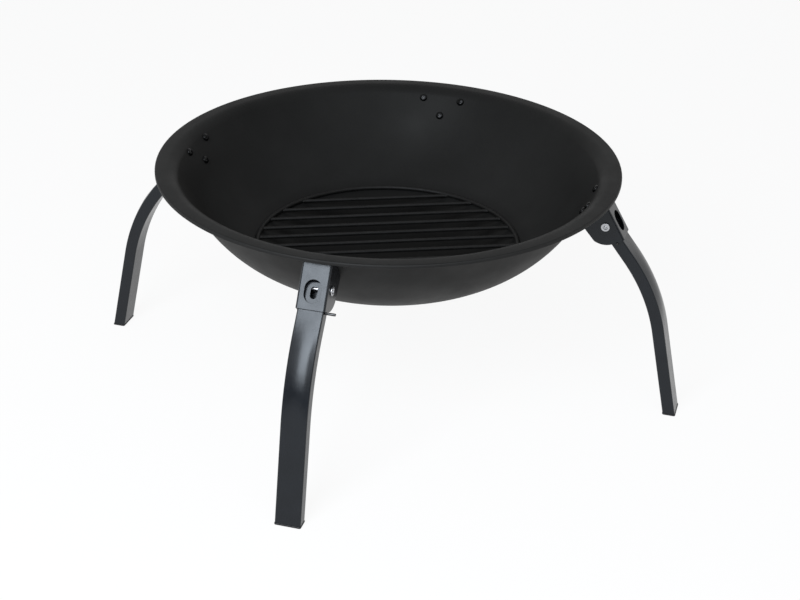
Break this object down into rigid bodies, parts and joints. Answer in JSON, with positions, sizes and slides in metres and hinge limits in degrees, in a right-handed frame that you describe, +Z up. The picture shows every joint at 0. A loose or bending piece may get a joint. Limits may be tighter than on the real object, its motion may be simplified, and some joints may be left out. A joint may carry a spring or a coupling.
{
  "type": "folding fire bowl",
  "caption": "Round black sheet-steel fire bowl with a lifting wire grate, on bent tube legs that fold inward on riveted brackets.",
  "frame": {"origin": "on the floor, on the bowl's upright axis, midway between the feet", "axes": "+Z up; -Y toward the front leg; +X toward the right leg"},
  "size_m": [0.7224, 0.7224, 0.2719],
  "materials": {
    "bowl_paint": "matte",
    "black_paint": "satin",
    "grate_steel": "matte",
    "black_screw": "satin",
    "zinc": "satin",
    "foot_plastic": "matte"
  },
  "bodies": {
    "bowl": {"bowl": "bowl_paint", "front_bracket": "black_paint", "right_bracket": "black_paint", "back_bracket": "black_paint", "left_bracket": "black_paint", "front_upper_left_screw": "black_screw", "front_upper_right_screw": "black_screw", "front_lower_screw": "black_screw", "front_upper_left_nut": "black_screw", "front_upper_right_nut": "black_screw", "front_lower_nut": "black_screw", "right_upper_left_screw": "black_screw", "right_upper_right_screw": "black_screw", "right_lower_screw": "black_screw", "right_upper_left_nut": "black_screw", "right_upper_right_nut": "black_screw", "right_lower_nut": "black_screw", "back_upper_left_screw": "black_screw", "back_upper_right_screw": "black_screw", "back_lower_screw": "black_screw", "back_upper_left_nut": "black_screw", "back_upper_right_nut": "black_screw", "back_lower_nut": "black_screw", "left_upper_left_screw": "black_screw", "left_upper_right_screw": "black_screw", "left_lower_screw": "black_screw", "left_upper_left_nut": "black_screw", "left_upper_right_nut": "black_screw", "left_lower_nut": "black_screw"},
    "grate": {"grate_ring": "grate_steel", "grate_bar_01": "grate_steel", "grate_bar_02": "grate_steel", "grate_bar_03": "grate_steel", "grate_bar_04": "grate_steel", "grate_bar_05": "grate_steel", "grate_bar_06": "grate_steel", "grate_bar_07": "grate_steel", "grate_bar_08": "grate_steel", "grate_bar_09": "grate_steel", "grate_bar_10": "grate_steel", "grate_bar_11": "grate_steel"},
    "front_rivet": {"front_pivot_rivet": "zinc"},
    "front_leg": {"front_leg": "black_paint", "front_stop_pin": "black_screw", "front_foot_cap": "foot_plastic"},
    "right_rivet": {"right_pivot_rivet": "zinc"},
    "right_leg": {"right_leg": "black_paint", "right_stop_pin": "black_screw", "right_foot_cap": "foot_plastic"},
    "back_rivet": {"back_pivot_rivet": "zinc"},
    "back_leg": {"back_leg": "black_paint", "back_stop_pin": "black_screw", "back_foot_cap": "foot_plastic"},
    "left_rivet": {"left_pivot_rivet": "zinc"},
    "left_leg": {"left_leg": "black_paint", "left_stop_pin": "black_screw", "left_foot_cap": "foot_plastic"}
  },
  "joints": [
    {"name": "front_leg_fold", "type": "hinge", "parent": "bowl", "child": "front_rivet", "pos_m": [0, -0.26031, 0.23328], "axis": [1, 0, 0], "range_deg": [0, 82]},
    {"name": "front_leg_release", "type": "slide", "parent": "front_rivet", "child": "front_leg", "axis": [0, -0.6157, -0.788], "range_m": [0, 0.0035]},
    {"name": "right_leg_fold", "type": "hinge", "parent": "bowl", "child": "right_rivet", "pos_m": [0.26031, 0, 0.23328], "axis": [0, 1, 0], "range_deg": [0, 82]},
    {"name": "right_leg_release", "type": "slide", "parent": "right_rivet", "child": "right_leg", "axis": [0.6157, 0, -0.788], "range_m": [0, 0.0035]},
    {"name": "back_leg_fold", "type": "hinge", "parent": "bowl", "child": "back_rivet", "pos_m": [0, 0.26031, 0.23328], "axis": [-1, 0, 0], "range_deg": [0, 82]},
    {"name": "back_leg_release", "type": "slide", "parent": "back_rivet", "child": "back_leg", "axis": [0, 0.6157, -0.788], "range_m": [0, 0.0035]},
    {"name": "left_leg_fold", "type": "hinge", "parent": "bowl", "child": "left_rivet", "pos_m": [-0.26031, 0, 0.23328], "axis": [0, -1, 0], "range_deg": [0, 82]},
    {"name": "left_leg_release", "type": "slide", "parent": "left_rivet", "child": "left_leg", "axis": [-0.6157, 0, -0.788], "range_m": [0, 0.0035]},
    {"name": "grate_lift", "type": "slide", "parent": "bowl", "child": "grate", "axis": [0, 0, 1], "range_m": [0, 0.12]}
  ]
}
